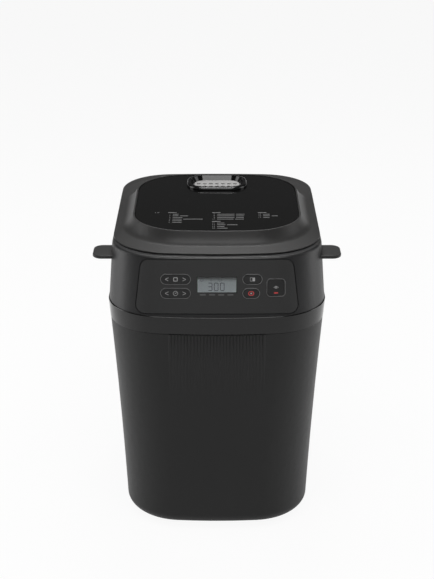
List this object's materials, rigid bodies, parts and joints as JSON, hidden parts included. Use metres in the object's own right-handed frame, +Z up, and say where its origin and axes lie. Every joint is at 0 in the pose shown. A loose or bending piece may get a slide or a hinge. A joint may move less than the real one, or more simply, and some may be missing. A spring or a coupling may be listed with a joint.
{
  "type": "bread machine",
  "caption": "Compact countertop bread machine: tapered black body, sloped control panel with display and keys, hinged lid with steam vent, and a pan, paddle and belt drive inside.",
  "frame": {"origin": "on the ground, under the middle of the machine", "axes": "+Z up, +X to the right seen from the front, the control panel faces -Y"},
  "size_m": [0.2414, 0.29, 0.3052],
  "materials": {
    "body_black": "matt black moulding",
    "gloss_black": "gloss black",
    "housing_black": "satin black",
    "panel_black": "satin black film",
    "shell_grey": "matt dark grey",
    "vent_white": "off-white",
    "lens_clear": "clear",
    "display_grey": "grey-green display",
    "key_black": "satin black",
    "rubber_black": "black rubber",
    "board_green": "circuit board",
    "inner_plastic": "natural plastic",
    "sheet_steel": "bare sheet",
    "bar_steel": "bare bar",
    "tray_aluminium": "satin",
    "pan_nonstick": "dark non-stick coat",
    "bush_brass": "plain"
  },
  "bodies": {
    "machine": {"base_plate": "body_black", "base_screws": "sheet_steel", "bearing_housing": "tray_aluminium", "board_posts": "inner_plastic", "capacitor": "inner_plastic", "chassis": "sheet_steel", "chassis_posts": "sheet_steel", "collar": "shell_grey", "control_board": "board_green", "control_housing": "housing_black", "control_panel": "panel_black", "cord_gland": "body_black", "display_lens": "lens_clear", "display_module": "display_grey", "display_riser": "inner_plastic", "drive_belt": "rubber_black", "feet": "rubber_black", "heater_clips": "sheet_steel", "heating_element": "bar_steel", "hinge_pins": "sheet_steel", "left_handle": "shell_grey", "motor": "sheet_steel", "outer_body": "body_black", "oven_chamber": "sheet_steel", "pan_seat": "tray_aluminium", "power_board": "board_green", "right_handle": "shell_grey", "stand_offs": "sheet_steel", "switch_mat": "rubber_black", "temperature_sensor": "bar_steel", "transformer": "sheet_steel", "trim_band": "gloss_black"},
    "lid": {"lid_frame": "shell_grey", "lid_panel": "gloss_black", "vent_bezel": "gloss_black", "vent_grille": "vent_white", "lid_tray": "tray_aluminium", "lid_seal": "rubber_black", "lid_screws": "sheet_steel"},
    "pan": {"bread_pan": "pan_nonstick", "pan_skirt": "tray_aluminium", "pan_bush": "bush_brass", "pan_pivots": "sheet_steel"},
    "pan_bail": {"pan_handle": "bar_steel"},
    "paddle": {"pan_shaft": "bar_steel", "pan_key": "bar_steel", "kneading_paddle": "pan_nonstick"},
    "drive": {"drive_shaft": "bar_steel", "drive_dog": "bar_steel", "driven_pulley": "inner_plastic"},
    "rotor": {"motor_shaft": "bar_steel", "motor_pulley": "inner_plastic"},
    "program_key": {"program_rocker": "key_black"},
    "timer_key": {"timer_rocker": "key_black"},
    "size_key": {"size_button": "key_black"},
    "stop_key": {"stop_button": "key_black"},
    "start_key": {"start_button": "key_black"}
  },
  "joints": [
    {"name": "lid_hinge", "type": "hinge", "parent": "machine", "child": "lid", "pos_m": [0, 0.1315, 0.2839], "axis": [-1, 0, 0], "range_deg": [0, 85]},
    {"name": "pan_lift", "type": "slide", "parent": "machine", "child": "pan", "axis": [0, 0, 1], "range_m": [0, 0.02]},
    {"name": "pan_bail_swing", "type": "hinge", "parent": "pan", "child": "pan_bail", "pos_m": [0, 0.012, 0.208], "axis": [-1, 0, 0], "range_deg": [0, 140]},
    {"name": "drive_spin", "type": "hinge", "parent": "machine", "child": "drive", "pos_m": [0, 0.012, 0.05], "axis": [0, 0, 1], "continuous": true},
    {"name": "paddle_spin", "type": "hinge", "parent": "pan", "child": "paddle", "pos_m": [0, 0.012, 0.05], "axis": [0, 0, 1], "continuous": true},
    {"name": "motor_spin", "type": "hinge", "parent": "machine", "child": "rotor", "pos_m": [0, -0.1, 0.03], "axis": [0, 0, 1], "continuous": true},
    {"name": "program_rock", "type": "hinge", "parent": "machine", "child": "program_key", "pos_m": [-0.0389, -0.12946, 0.26682], "axis": [0, 0.2938, 0.9559], "range_deg": [-2, 2], "stiffness_Nm_per_rad": 0.12},
    {"name": "timer_rock", "type": "hinge", "parent": "machine", "child": "timer_key", "pos_m": [-0.0389, -0.13334, 0.2542], "axis": [0, 0.2938, 0.9559], "range_deg": [-2, 2], "stiffness_Nm_per_rad": 0.12},
    {"name": "size_press", "type": "slide", "parent": "machine", "child": "size_key", "axis": [0, 0.9559, -0.2938], "range_m": [0, 0.001], "stiffness_N_per_m": 400},
    {"name": "stop_press", "type": "slide", "parent": "machine", "child": "stop_key", "axis": [0, 0.9559, -0.2938], "range_m": [0, 0.001], "stiffness_N_per_m": 400},
    {"name": "start_press", "type": "slide", "parent": "machine", "child": "start_key", "axis": [0, 0.9559, -0.2938], "range_m": [0, 0.001], "stiffness_N_per_m": 400}
  ],
  "couplings": [
    {"joint": "paddle_spin", "follows": "drive_spin", "ratio": 1},
    {"joint": "motor_spin", "follows": "drive_spin", "ratio": 5.8571}
  ]
}
